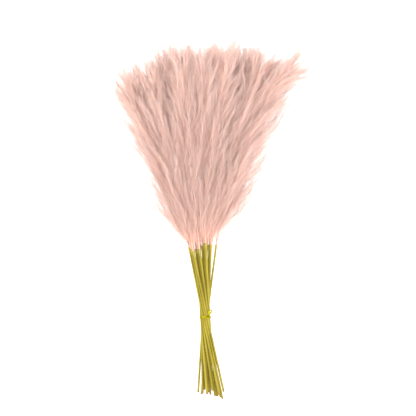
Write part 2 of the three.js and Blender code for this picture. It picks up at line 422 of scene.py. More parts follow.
def grow(name: str, line: Sequence[Vector], tree: Tree, sizes: dict) -> bpy.types.Object:
    """Grows a plain mesh from a line of points with a Geometry Nodes tree.

    Args:
        name: The piece's name.
        line: The points of the line, in metres.
        tree: The tree that turns the line into the piece.
        sizes: Its named inputs.

    Returns:
        The finished piece, with no modifier left on it.
    """
    mesh = bpy.data.meshes.new(name)
    edges = [(i, i + 1) for i in range(len(line) - 1)]
    mesh.from_pydata([tuple(p) for p in line], edges, [])
    piece = placed(name, mesh)
    growth = piece.modifiers.new("growth", "NODES")
    growth.node_group = tree
    for socket in tree.interface.items_tree:
        if socket.in_out == "INPUT" and socket.name in sizes:
            growth[socket.identifier] = sizes[socket.name]
    graph = bpy.context.evaluated_depsgraph_get()
    grown = bpy.data.meshes.new_from_object(
        piece.evaluated_get(graph), preserve_all_data_layers=True, depsgraph=graph
    )
    piece.modifiers.clear()
    piece.data = grown
    grown.name = name
    return piece


# ---- Finishes ----------------------------------------------------------------------------------


class ShaderBench(Bench):
    """Adds nodes to a material that ends in one Principled shader."""

    def __init__(self, name: str) -> None:
        """Makes the material and empties its tree.

        Args:
            name: The material's name.
        """
        self.material = bpy.data.materials.new(name)
        self.material.use_nodes = True
        super().__init__(self.material.node_tree)
        self.tree.nodes.clear()

    def attribute(self, name: str) -> Value:
        """Returns a named attribute of the mesh as a number."""
        return self.value("ShaderNodeAttribute", {"attribute_name": name}, {}, "Fac")

    def place(self) -> Arrow:
        """Returns the place on the piece, in metres."""
        return self.arrow("ShaderNodeTexCoord", {}, {}, "Object")

    def noise(self, where: Arrow, scale: Number, detail: Number = 3.0) -> Value:
        """Returns soft noise between 0 and 1."""
        inputs = {"Vector": where, "Scale": scale, "Detail": detail}
        return self.value("ShaderNodeTexNoise", {}, inputs, "Fac")

    def blend(self, share: Operand, first: Operand, second: Operand) -> Arrow:
        """Returns a mix of two colours."""
        inputs = {"Factor_Float": share, "A_Color": first, "B_Color": second}
        return self.arrow("ShaderNodeMix", {"data_type": "RGBA"}, inputs)

    def bump(self, height: Value, depth: Number, strength: Number = 1.0) -> Arrow:
        """Returns a normal that is raised by a height of this depth in metres."""
        inputs = {"Height": height, "Distance": depth, "Strength": strength}
        return self.arrow("ShaderNodeBump", {}, inputs)

    def finish(self, inputs: dict) -> bpy.types.Material:
        """Ends the tree in its one shader.

        Args:
            inputs: The shader's inputs.

        Returns:
            The material.
        """
        shader = self.node("ShaderNodeBsdfPrincipled", {}, inputs)
        self.node("ShaderNodeOutputMaterial", {}, {"Surface": shader.outputs["BSDF"]})
        return self.material


def colour(red: Number, green: Number, blue: Number) -> tuple:
    """Turns display values into a linear colour.

    Args:
        red: The red, 0 to 255.
        green: The green, 0 to 255.
        blue: The blue, 0 to 255.

    Returns:
        The colour, with full alpha.
    """

    def linear(shown: Number) -> float:
        """Undoes the display curve for one channel."""
        share = shown / 255.0
        return share / 12.92 if share <= 0.04045 else ((share + 0.055) / 1.055) ** 2.4

    return (linear(red), linear(green), linear(blue), 1.0)


@dataclass(frozen=True)
class HairFinish:
    """Fine dyed hair, pink at its root and grey at its tip. Its colour runs from pale to duller
    with a random variation and with painted light and shade: paler inside the plume, duller
    outside it, in high plumes, to the right and near the foot.
    """

    # inner and outer are the pale and the duller ends of the hair colour, set apart partly by
    # painted light on sunken hair and painted shade on exposed hair.
    inner: tuple = colour(255, 228, 216)
    outer: tuple = colour(222, 186, 174)
    root: tuple = colour(250, 182, 160)
    tip: tuple = colour(204, 194, 193)
    stalk: tuple = colour(206, 160, 140)
    streak: float = 0.3
    rooting: float = 0.4
    tipping: float = 0.8
    roughness: float = 0.8
    gloss: float = 0.1

    def build(self) -> bpy.types.Material:
        """Builds the material from each hair's share along its spray and from a value that mixes a
        random variation with painted light and shade.

        Returns:
            The material.
        """
        bench = ShaderBench("plume_hair")
        along = bench.attribute("hair_along")
        tone_and_shade = bench.attribute("hair_tone_and_shade")
        grain = bench.noise(bench.combine(along * 9.0, tone_and_shade * 60.0, 0.0), 1.0)
        # Pale to duller colour: painted light on sunken hair and painted shade on exposed hair,
        # over a random variation.
        body = bench.blend(tone_and_shade.eased(0.12, 0.9), self.inner, self.outer)
        rooted = bench.blend((1.0 - along.eased(0.0, 0.4)) * self.rooting, body, self.root)
        tipped = bench.blend(along.eased(0.55, 1.0) * self.tipping, rooted, self.tip)
        streaked = bench.blend(grain.eased(0.45, 0.75) * self.streak, tipped, self.root)
        painted = bench.blend(tone_and_shade.eased(0.06, 0.07), self.stalk, streaked)
        return bench.finish(
            {
                "Base Color": painted,
                "Roughness": grain * 0.2 + (self.roughness - 0.1),
                "Specular IOR Level": self.gloss,
            }
        )


@dataclass(frozen=True)
class CulmFinish:
    """A dry yellow-green culm, faintly ribbed along its length and browned at its cut end."""

    pale: tuple = colour(146, 132, 44)
    green: tuple = colour(128, 115, 36)
    fleck: tuple = colour(98, 82, 28)
    cut: tuple = colour(126, 100, 48)
    pith: tuple = colour(190, 170, 112)
    collar: tuple = colour(176, 158, 84)
    ribs: float = 0.45
    flecks: float = 0.6
    collaring: float = 0.5
    browning: float = 0.8
    relief: float = 0.00006
    roughness: float = 0.5
    gloss: float = 0.12

    def build(self) -> bpy.types.Material:
        """Builds the material from the height above the cut end, the rim and the collar.

        Returns:
            The material.
        """
        bench = ShaderBench("dry_culm")
        up = bench.attribute("culm_up")
        rim = bench.attribute("culm_rim")
        collar = bench.attribute("culm_collar")
        x, y, z = bench.place().parts()
        fibre = bench.noise(bench.combine(x * 2600.0, y * 60.0, z * 2600.0), 1.0, 4.0)
        patch = bench.noise(bench.combine(x * 90.0, y * 22.0, z * 90.0), 1.0, 2.0)
        fleck = bench.noise(bench.combine(x * 900.0, y * 300.0, z * 900.0), 1.0, 3.0)
        body = bench.blend(patch.eased(0.35, 0.65), self.pale, self.green)
        ribbed = bench.blend(fibre.eased(0.5, 0.8) * self.ribs, body, self.fleck)
        flecked = bench.blend(fleck.eased(0.68, 0.74) * self.flecks, ribbed, self.fleck)
        collared = bench.blend(collar * self.collaring, flecked, self.collar)
        browned = (1.0 - up.eased(0.0005, 0.006)) * self.browning
        ended = bench.blend(browned, collared, self.cut)
        painted = bench.blend(1.0 - rim.eased(0.55, 0.7), ended, self.pith)
        height = fibre * 0.7 + fleck * 0.3
        return bench.finish(
            {
                "Base Color": painted,
                "Roughness": fibre * 0.2 + (self.roughness - 0.05),
                "Specular IOR Level": self.gloss,
                "Normal": bench.bump(height, self.relief, 0.6),
            }
        )


@dataclass(frozen=True)
class FoilFinish:
    """Shiny yellow-gold foil, finely crinkled, with patches of painted dark reflection."""

    gold: tuple = colour(178, 168, 10)
    # The colour of the painted dark reflections.
    painted_dark_reflection: tuple = colour(92, 78, 0)
    edge: tuple = colour(150, 138, 20)
    metal: float = 0.85
    relief: float = 0.0001
    roughness: float = 0.22

    def build(self) -> bpy.types.Material:
        """Builds the material from two sizes of noise: the finer crinkles it, the coarser lays
        patches of painted dark reflection on the gold.

        Returns:
            The material.
        """
        bench = ShaderBench("gold_foil")
        place = bench.place()
        crinkle = bench.noise(place, 1500.0, 3.0)
        # Painted dark reflections: patches of darker gold stand in for the darker surroundings
        # that the shiny foil would mirror.
        painted_reflection = bench.noise(place, 700.0, 2.0)
        return bench.finish(
            {
                "Base Color": bench.blend(painted_reflection.eased(0.45, 0.6), self.gold, self.painted_dark_reflection),
                "Metallic": self.metal,
                "Specular Tint": self.edge,
                "Roughness": crinkle * 0.2 + (self.roughness - 0.1),
                "Normal": bench.bump(crinkle, self.relief, 0.7),
            }
        )


@dataclass(frozen=True)
class TableFinish:
    """A plain white table top."""

    shade: tuple = colour(246, 246, 246)
    glow: float = 0.35

    def build(self) -> bpy.types.Material:
        """Builds the material.

        Returns:
            The material.
        """
        return ShaderBench("white_table").finish(
            {
                "Base Color": self.shade,
                "Roughness": 0.9,
                "Specular IOR Level": 0.1,
                "Emission Color": WHITE,
                "Emission Strength": self.glow,
            }
        )


# ---- The bunch's plan, as the solids have it ---------------------------------------------------


@dataclass(frozen=True)
class Plan:
    """The sizes that the stems' and plumes' paths follow, in millimetres."""

    stem_diameter: float = 2.45
    stem_gap: float = 0.25
    sheath_diameter: float = 3.2
    sheath_length: float = 9.0
    butt_length: float = 97.0
    foot_height: float = 90.0
    twist: float = 0.0325
    twist_skew: float = 0.0025
    lift: float = 0.02
    stray: float = 0.006
    lean: float = -0.058
    bow: float = 0.019
    bend_length: float = 20.0
    rise: float = 0.08
    tip_height: float = 330.0
    tip_spread: float = 100.0
    lowest_tip: float = 14.0
    layer_height: float = 12.5
    plume_radius: float = 23.0
    curl_power: float = 7.0

    @property
    def pitch(self) -> float:
        """The distance between neighbouring stems under the tie."""
        return self.stem_diameter + self.stem_gap

    def bent(self, t: float) -> float:
        """Returns the distance t from the tie, bent to grow on both sides of it."""
        return math.hypot(t, self.bend_length) - self.bend_length


PLAN = Plan()


@dataclass(frozen=True)
class Stem:
    """One stem with its plume, placed as its solids are.

    The fields say its seat under the tie, in half steps to the right and rows upwards, how much
    farther than the rest it is cut and its plume begins, where its plume's tip lies, how the plume
    bends there, and how full it is.
    """

    number: int
    side: float
    level: float
    butt: float
    foot: float
    across: float
    tip: float
    layer: float
    way: float
    dip: float
    curl: float
    full: float

    @property
    def foot_at(self) -> float:
        """The plume's foot, above the tie."""
        return PLAN.foot_height + self.foot

    @property
    def butt_at(self) -> float:
        """The cut end, below the tie."""
        return PLAN.butt_length + self.butt

    @property
    def tip_at(self) -> float:
        """The plume's tip, above the tie."""
        return PLAN.tip_height + self.tip

    def low(self, t: float) -> Vector:
        """Follows the bare stem.

        Args:
            t: The distance above the tie.

        Returns:
            The stem's middle there, from the tie.
        """
        x = self.side * PLAN.pitch / 2.0
        z = self.level * PLAN.pitch * math.sqrt(3.0) / 2.0
        turn = PLAN.twist * t + PLAN.twist_skew * PLAN.bent(t)
        axis = PLAN.lean * t + PLAN.bow * PLAN.bent(t)
        astray = GOLDEN_ANGLE * (self.side + 9 * self.level)
        out, up = PLAN.stray * t * math.cos(astray), PLAN.stray * t * math.sin(astray)
        rise = PLAN.rise * t + up
        return Vector((axis + out + x - turn * z, t, rise + z + PLAN.lift * t * x))

    def lead(self) -> Vector:
        """Returns the stem's slope where its plume begins, for one millimetre along Y."""
        step = 0.5
        ahead, behind = self.low(self.foot_at + step), self.low(self.foot_at - step)
        return (ahead - behind) / (2.0 * step)

    def high(self, t: float, height: float) -> Vector:
        """Follows the plume.

        Args:
            t: The distance above the tie.
            height: The tie's height above the table.

        Returns:
            The plume's middle there, from the tie.
        """
        start, lead = self.low(self.foot_at), self.lead()
        run = self.tip_at - self.foot_at
        u = (t - self.foot_at) / run
        tip_x = PLAN.tip_spread * self.across
        tip_z = PLAN.lowest_tip + PLAN.layer_height * self.layer - height
        x = hermite(start.x, tip_x, lead.x, self.way, run, u)
        z = hermite(start.z, tip_z, lead.z, self.dip, run, u)
        return Vector((x + self.curl * max(u, 0.0) ** PLAN.curl_power, t, z))


def hermite(a: float, b: float, lead_a: float, lead_b: float, run: float, u: float) -> float:
    """Eases from one value to another over a run, with a slope at each end.

    Args:
        a: The first value.
        b: The last value.
        lead_a: The slope at the first.
        lead_b: The slope at the last.
        run: The distance between them.
        u: The share of the run.

    Returns:
        The value at that share.
    """
    ends = a * (2 * u**3 - 3 * u**2 + 1) + b * (3 * u**2 - 2 * u**3)
    return ends + run * (lead_a * (u**3 - 2 * u**2 + u) + lead_b * (u**3 - u**2))


STEMS = tuple(
    Stem(number, *row)
    for number, row in enumerate(
        [
            (-2, 2, 0, -1.5, -1.04, -28, 1, -0.4, -0.05, -4, 1.05),
            (-3, 1, -5, 0, -0.9, -26, 0.25, -0.36, -0.05, -3, 1.05),
            (0, 2, 5.9, -4, -0.72, -16, 2.1, -0.3, -0.05, 2, 1),
            (-4, 0, -0.4, 1, -0.62, -10, 0, -0.3, -0.05, 0, 0.95),
            (-1, 1, 2, -4, -0.5, 6, 1.3, -0.2, 0, -2, 0.95),
            (-2, 0, -2.2, 2, -0.36, -2, 0.1, -0.16, -0.03, 0, 0.9),
            (2, 2, -2.8, -6.5, -0.3, 4, 3, -0.12, -0.06, -2, 1),
            (1, 1, 2.8, -4, -0.14, -2, 2, -0.05, -0.02, 0, 0.9),
            (0, 0, 0.9, 0, -0.05, 0, 1.1, 0, 0, 0, 0.9),
            (3, 1, 4.7, -4.5, 0, 3, 3, 0.02, -0.06, 0, 1),
            (2, 0, -8.5, 3, 0.14, 5, 2, 0.05, -0.02, 0, 0.9),
            (-3, -1, -1, 2, 0.2, -6, 0, 0.1, -0.02, 0, 0.9),
            (4, 0, 3.4, 3.5, 0.27, 14, 3, 0.08, -0.06, -2, 1),
            (1, -1, -17.8, 1.5, 0.43, 3, 1.1, 0.14, 0, 2, 0.95),
            (-1, -1, -5.4, 1, 0.58, -3, 0, 0.22, -0.02, 1, 0.95),
            (3, -1, -16, 1, 0.74, 5, 2.2, 0.28, -0.05, 4, 1.05),
            (2, -2, 1, 1, 0.745, -10, 1.6, 0.15, -0.04, 52, 1.15),
            (-2, -2, -2, 2, 0.9, -16, 0, 0.12, -0.03, 0, 1.25),
        ],
        start=1,
    )
)


@dataclass(frozen=True)
class Ground:
    """Where the tie's middle is in the solids' frame, in millimetres."""

    x: float
    y: float
    z: float

    @classmethod
    def found(cls) -> "Ground":
        """Finds the tie from the solid of the straightest stem.

        Returns:
            Where the tie's middle is.
        """
        stem = next(s for s in STEMS if s.side == 0 and s.level == 0)
        low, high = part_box(f"stem_{stem.number:02d}")
        top = stem.low(stem.foot_at)
        butt = stem.low(-stem.butt_at)
        middle = (low + high) / 2.0 / MM
        sheath = (PLAN.sheath_diameter - PLAN.stem_diameter) / 4.0
        return cls(
            x=middle.x - (top.x + butt.x) / 2.0 + sheath,
            y=low.y / MM - butt.y,
            z=middle.z - (top.z + butt.z) / 2.0 - sheath,
        )

    def put(self, point: Vector) -> Vector:
        """Returns a point that is given from the tie, in metres in the solids' frame."""
        return (point + Vector((self.x, self.y, self.z))) * MM


# ---- Bare stems --------------------------------------------------------------------------------


@dataclass
class Culms:
    """The bare stems: round, slightly uneven, swollen under the plume, cut square below."""

    ground: Ground
    finish: bpy.types.Material
    plumpness: float = 0.2
    sheath_radius: float = PLAN.sheath_diameter / 2.0 * MM
    sheath_length: float = PLAN.sheath_length * MM
    foot_swell: float = 0.06
    foot_length: float = 0.04
    unevenness: float = 0.00009
    bevel: float = 0.00015
    points: int = 70
    sides: int = 16
    tree: Tree = field(init=False)

    def __post_init__(self) -> None:
        """Builds the tree that all stems share."""
        self.tree = self._tree()

    def _sizes(self, stem: Stem) -> dict:
        """Gathers the tree's named inputs.

        Args:
            stem: The stem that is built.

        Returns:
            The inputs by name.
        """
        return {
            "Radius": (PLAN.stem_diameter + self.plumpness) / 2.0 * MM,
            "Sheath Radius": self.sheath_radius,
            "Sheath Length": self.sheath_length,
            "Unevenness": self.unevenness,
            "Bevel": self.bevel,
            "Sides": self.sides,
            "Seed": stem.number,
            "Finish": self.finish,
        }

    def _tree(self) -> Tree:
        """Builds the tree in which a line becomes a culm.

        Returns:
            The tree.
        """
        bench = ShapeBench("culm", self._sizes(STEMS[0]))
        size = bench.size
        line = bench.shape("GeometryNodeMeshToCurve", {}, {"Mesh": bench.entry.outputs[0]})
        run = bench.value("GeometryNodeCurveLength", {}, {"Curve": line})
        up = bench.value("GeometryNodeSplineParameter", {}, {}, "Length")
        down = run - up
        swell = (1.0 - (down / size("Sheath Length"))).clamped().eased(0.0, 0.8)
        lower = 1.0 - up.eased(0.0, self.foot_length)
        girth = size("Radius") * (1.0 + lower * self.foot_swell)
        swollen = girth + (size("Sheath Radius") - size("Radius")) * swell
        ends = up.least(down) / size("Bevel")
        rim = ((1.0 - (1.0 - ends.clamped()) ** 2.0) ** 0.5).most(0.02)
        kept = bench.keep(line, "culm_up", up)
        kept = bench.keep(kept, "culm_rim", rim)
        kept = bench.keep(kept, "culm_collar", swell)
        kept = bench.keep(kept, "culm_girth", swollen * rim)
        skin = bench.tube(kept, "culm_girth", size("Sides"))
        here = bench.arrow("GeometryNodeInputPosition", {}, {})
        shift = bench.combine(size("Seed") * 7.3, 0.0, 0.0)
        where = here.math("MULTIPLY", (500.0, 45.0, 500.0)) + shift
        wave = bench.arrow("ShaderNodeTexNoise", {}, {"Vector": where, "Scale": 1.0}, "Color")
        offset = (wave - (0.5, 0.5, 0.5)) * size("Unevenness")
        moved = bench.shape("GeometryNodeSetPosition", {}, {"Geometry": skin, "Offset": offset})
        return bench.finish(moved)

    def _line(self, stem: Stem) -> "list[Vector]":
        """Divides one stem, more closely at its bevelled ends.

        Args:
            stem: The stem.

        Returns:
            The points along it, in metres.
        """
        first, last = -stem.butt_at, stem.foot_at - 0.1
        bevel = self.bevel / MM
        steps = [0.0, bevel * 0.15, bevel * 0.5, bevel]
        inner = [
            first + bevel + (last - first - 2 * bevel) * k / self.points
            for k in range(1, self.points)
        ]
        places = [first + s for s in steps] + inner + [last - s for s in reversed(steps)]
        return [self.ground.put(stem.low(t)) for t in places]

    def build(self, stem: Stem) -> bpy.types.Object:
        """Builds one stem.

        Args:
            stem: The stem.

        Returns:
            The finished piece.
        """
        name = f"culm_{stem.number:02d}"
        piece = grow(name, self._line(stem), self.tree, self._sizes(stem))
        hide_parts(f"stem_{stem.number:02d}")
        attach(piece, BODY)
        return piece


# ---- Plumes ------------------------------------------------------------------------------------


@dataclass
class Plumes:
    """The feathery plumes: sprays of fine hair all round a thin stalk."""

    ground: Ground
    finish: bpy.types.Material
    half_width: float
    sprays: int = 210
    hairs: int = 40
    spray_length: float = 0.072
    hair_length: float = 0.02
    hair_radius: float = 0.00016
    hair_angle: float = 0.46
    stalk_share: float = 0.84
    beyond: float = 10.0
    stalk_radius: float = 0.0011
    foot_radius: float = 0.0012
    fullness: float = 1.35
    fullest: float = 0.42
    opening: float = 3.4
    closing: float = 2.2
    narrowing: float = 0.38
    sag: float = 0.003
    flatness: float = 0.62
    filling: float = 0.6
    raising: float = 0.007
    raised_below: float = 2.2
    top_layer: float = 3.0
    # Painted shade: plumes higher up and plumes to the right are given a duller colour, as more
    # light falls on them.
    painted_shade_above: float = 0.08
    painted_shade_right: float = 0.14
    two_sidedness: float = 0.28
    crowding: float = 1.15
    seating: float = 0.8
    straggling: float = 0.9
    sway: float = 0.0015
    drawing_in: float = 0.65
    clearance: float = 0.0005
    points: int = 48
    tree: Tree = field(init=False)

    def __post_init__(self) -> None:
        """Builds the tree that all plumes share."""
        self.tree = self._tree()

    def _sizes(self, stem: Stem) -> dict:
        """Works out the tree's named inputs for one plume.

        Args:
            stem: The plume's stem.

        Returns:
            The inputs by name.
        """
        level = min(stem.layer / self.top_layer, 1.0)
        return {
            "Sprays": self.sprays,
            "Hairs on a Spray": self.hairs,
            "Spray Length": self.spray_length,
            "Hair Length": self.hair_length,
            "Hair Radius": self.hair_radius,
            "Hair Angle": self.hair_angle,
            "Plume Radius": PLAN.plume_radius * stem.full * self.fullness * MM,
            "Foot Radius": self.foot_radius,
            "Fullest At": self.fullest,
            "Stalk Share": self.stalk_share,
            "Stalk Radius": self.stalk_radius,
            "Sag": self.sag,
            "Flatness": self.flatness + self.filling * (1.0 - level),
            "Two-Sidedness": self.two_sidedness,
            "Table Clearance": self.clearance,
            "Half Width": self.half_width,
            "Raise": self.raising * max(self.raised_below - stem.layer, 0.0),
            # Painted shade for high plumes and for plumes to the right.
            "Exposure": self.painted_shade_above * level + self.painted_shade_right * max(stem.across, 0.0),
            "Seed": stem.number * 40,
            "Finish": self.finish,
        }

    def _stalk(self, bench: ShapeBench, line: Socket) -> Socket:
        """Adds the thin stalk inside the hair.

        Args:
            bench: The plume's tree.
            line: The plume's curve.

        Returns:
            The stalk.
        """
        size = bench.size
        part = {"Curve": line, "Start": 0.0, "End": size("Stalk Share")}
        inner = bench.shape("GeometryNodeTrimCurve", {"mode": "FACTOR"}, part)
        share = bench.value("GeometryNodeSplineParameter", {}, {}, "Factor")
        kept = bench.keep(inner, "hair_along", share * 0.5)
        kept = bench.keep(kept, "hair_tone_and_shade", 0.02)
        kept = bench.keep(kept, "stalk_girth", size("Stalk Radius") * (1.0 - share * 0.8))
        skin = bench.tube(kept, "stalk_girth", 8)
        place = bench.combine(bench.stored("hair_along") + 0.02, bench.stored("hair_tone_and_shade"), 0.0)
        return bench.keep(skin, BAKE_MAP, place, "FLOAT2", "CORNER")

    def _hairs(self, bench: ShapeBench) -> Socket:
        """Adds all hairs in one place, each with its number.

        Args:
            bench: The plume's tree.

        Returns:
            The hairs, as straight cones of one metre.
        """
        size = bench.size
        count = size("Sprays") * size("Hairs on a Spray")
        dots = bench.shape("GeometryNodePoints", {}, {"Count": count})
        index = bench.value("GeometryNodeInputIndex", {}, {})
        dots = bench.keep(dots, "hair_number", index)
        outline = {"Vertices": 3, "Side Segments": 2, "Depth": 1.0}
        radii = {"Radius Top": 0.0, "Radius Bottom": 1.0}
        fan = {"fill_type": "TRIANGLE_FAN"}
        cone = bench.shape("GeometryNodeMeshCone", fan, {**outline, **radii})
        made = bench.shape("GeometryNodeInstanceOnPoints", {}, {"Points": dots, "Instance": cone})
        return bench.shape("GeometryNodeRealizeInstances", {}, {"Geometry": made})

    def _tree(self) -> Tree:
        """Builds the tree in which a line becomes a stalk with its hair.

        Returns:
            The tree.
        """
        bench = ShapeBench("plume", self._sizes(STEMS[0]))
        size, chance = bench.size, bench.chance
        line = bench.shape("GeometryNodeMeshToCurve", {}, {"Mesh": bench.entry.outputs[0]})
        run = bench.value("GeometryNodeCurveLength", {}, {"Curve": line})
        hair = bench.stored("hair_number")
        spray = ((hair + 0.5) / size("Hairs on a Spray")).whole()
        rank = (hair + 0.5) / size("Hairs on a Spray") - spray
        across, over, along = bench.arrow("GeometryNodeInputPosition", {}, {}).parts()

        # Where the spray leaves the stalk and where it ends.
        turn = ((spray + chance(spray, Draw.LEAVING)) / size("Sprays")) ** self.crowding
        leaves = turn * size("Stalk Share") * run
        wanted = size("Spray Length") * chance(spray, Draw.SPRAY_LENGTH)
        cut_short = 1.0 - chance(spray, Draw.SHORTENING) ** 1.3
        reach = wanted.least((run - leaves) * cut_short)
        ends = ((leaves + reach) / run).least(1.0)

        # How far from the line the spray ends.
        opening = 1.0 - (1.0 - (ends / size("Fullest At")).least(1.0)) ** self.opening
        past = (ends - size("Fullest At")) / (1.0 - size("Fullest At"))
        fullness = opening * (1.0 - past.most(0.0) ** self.closing * self.narrowing)
        room = size("Foot Radius") + (size("Plume Radius") - size("Foot Radius")) * fullness
        layer = chance(spray, Draw.LAYER) ** 0.5
        stray = chance(spray, Draw.STRAGGLING).eased(0.95, 1.0) * (1.0 - ends)
        out = room * layer * (stray * self.straggling + 1.0)

        # Where on the spray the hair is, and how far it stands off it.
        seat = rank**self.seating
        length = size("Hair Length") * chance(hair, Draw.HAIR_LENGTH) * (1.0 - seat * 0.45)
        gone = seat + along * length / reach
        bend = chance(spray, Draw.BEND) + (1.0 - turn) ** 3.0 * 0.7
        leaving = gone * (1.0 - bend) + (1.0 - (1.0 - gone) ** 2.0) * bend
        round_way = spray * GOLDEN_ANGLE + chance(spray, Draw.ROUND)
        angle = round_way - (round_way * 2.0).math("SINE") * size("Two-Sidedness")
        off = length * along * size("Hair Angle") * chance(hair, Draw.HAIR_ANGLE)
        about = chance(hair, Draw.ABOUT)
        phase = chance(spray, Draw.PHASE) + gone * chance(spray, Draw.WAVES)
        sway = phase.math("SINE") * gone * self.sway

        # The hair's middle, and its own thin skin about it.
        there = {"Curves": line, "Length": leaves + reach * gone}
        sample = bench.node("GeometryNodeSampleCurve", {"mode": "LENGTH"}, there)
        centre = Arrow(bench, sample.outputs["Position"])
        forward = Arrow(bench, sample.outputs["Tangent"])
        side = forward.math("CROSS_PRODUCT", UP).math("NORMALIZE")
        upward = side.cross(forward)
        distance = out * leaving + off * about.math("COSINE")
        aside = off * about.math("SINE") + sway
        girth = size("Hair Radius") * chance(hair, Draw.GIRTH)
        taper = (1.0 - along).most(0.02) ** -0.5
        cosine, sine = angle.math("COSINE"), angle.math("SINE")
        flat = cosine * distance - sine * aside + across * girth * taper
        raised = size("Raise") * (sine * 0.5 + 0.5) * gone * ends
        lifted = (sine * distance + cosine * aside) * size("Flatness") + raised
        tall = lifted + over * girth * taper
        place = centre + side * flat + upward * tall
        x, y, z = place.parts()
        sagged = z - gone * gone * size("Sag") * chance(spray, Draw.SAG)
        lowest = size("Table Clearance") + chance(hair, Draw.RESTING)
        beyond = (x.math("ABSOLUTE") - size("Half Width")).most(0.0) * x.math("SIGN")
        rested = bench.combine(x - beyond * self.drawing_in, y, sagged.most(lowest))

        # Painted shade and light: outer and far-out hairs, high plumes, plumes to the right and
        # sprays near the foot get a duller colour, sunken hairs a paler one, over a random
        # variation; and how far along its spray the hair is.
        painted_shade = layer * gone.least(1.0) * 0.4 + size("Exposure") + (1.0 - ends) ** 2.0 * 0.25
        tone_and_shade = (painted_shade + chance(spray, Draw.SPRAY_TONE) + chance(hair, Draw.HAIR_TONE)).most(0.09)
        shape = self._hairs(bench)
        share = seat * 0.6 + along * 0.4
        shape = bench.keep(shape, "hair_along", share)
        shape = bench.keep(shape, "hair_tone_and_shade", tone_and_shade)
        spot = bench.combine(share * 0.96 + 0.02, tone_and_shade + across * 0.003, 0.0)
        shape = bench.keep(shape, BAKE_MAP, spot, "FLOAT2", "CORNER")
        shape = bench.shape("GeometryNodeSetPosition", {}, {"Geometry": shape, "Position": rested})
        joined = bench.node("GeometryNodeJoinGeometry", {}, {})
        for part in (self._stalk(bench, line), shape):
            bench.tree.links.new(part, joined.inputs[0])
        return bench.finish(joined.outputs[0])

    def build(self, stem: Stem) -> bpy.types.Object:
        """Builds one plume.

        Args:
            stem: The plume's stem.

        Returns:
            The finished piece.
        """
        name = f"plume_hair_{stem.number:02d}"
        run = stem.tip_at + self.beyond - stem.foot_at
        places = [stem.foot_at + run * k / self.points for k in range(self.points + 1)]
        line = [self.ground.put(stem.high(t, self.ground.z)) for t in places]
        piece = grow(name, line, self.tree, self._sizes(stem))
        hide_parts(f"plume_{stem.number:02d}")
        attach(piece, BODY)
        return piece


# ---- Twist tie ---------------------------------------------------------------------------------


def smooth_line(points: Sequence[Vector], steps: int) -> "list[Vector]":
    """Returns a smooth line through the points.

    Args:
        points: The points that it passes through.
        steps: The number of stretches between one point and the next.

    Returns:
        The line's points.
    """
    padded = [2 * points[0] - points[1], *points, 2 * points[-1] - points[-2]]
    line = []
    for a, b, c, d in zip(padded, padded[1:], padded[2:], padded[3:]):
        for k in range(steps):
            u = k / steps
            bent = 2 * b + (c - a) * u + (2 * a - 5 * b + 4 * c - d) * u**2
            line.append(0.5 * (bent + (3 * b - a - 3 * c + d) * u**3))
    return [*line, points[-1].copy()]


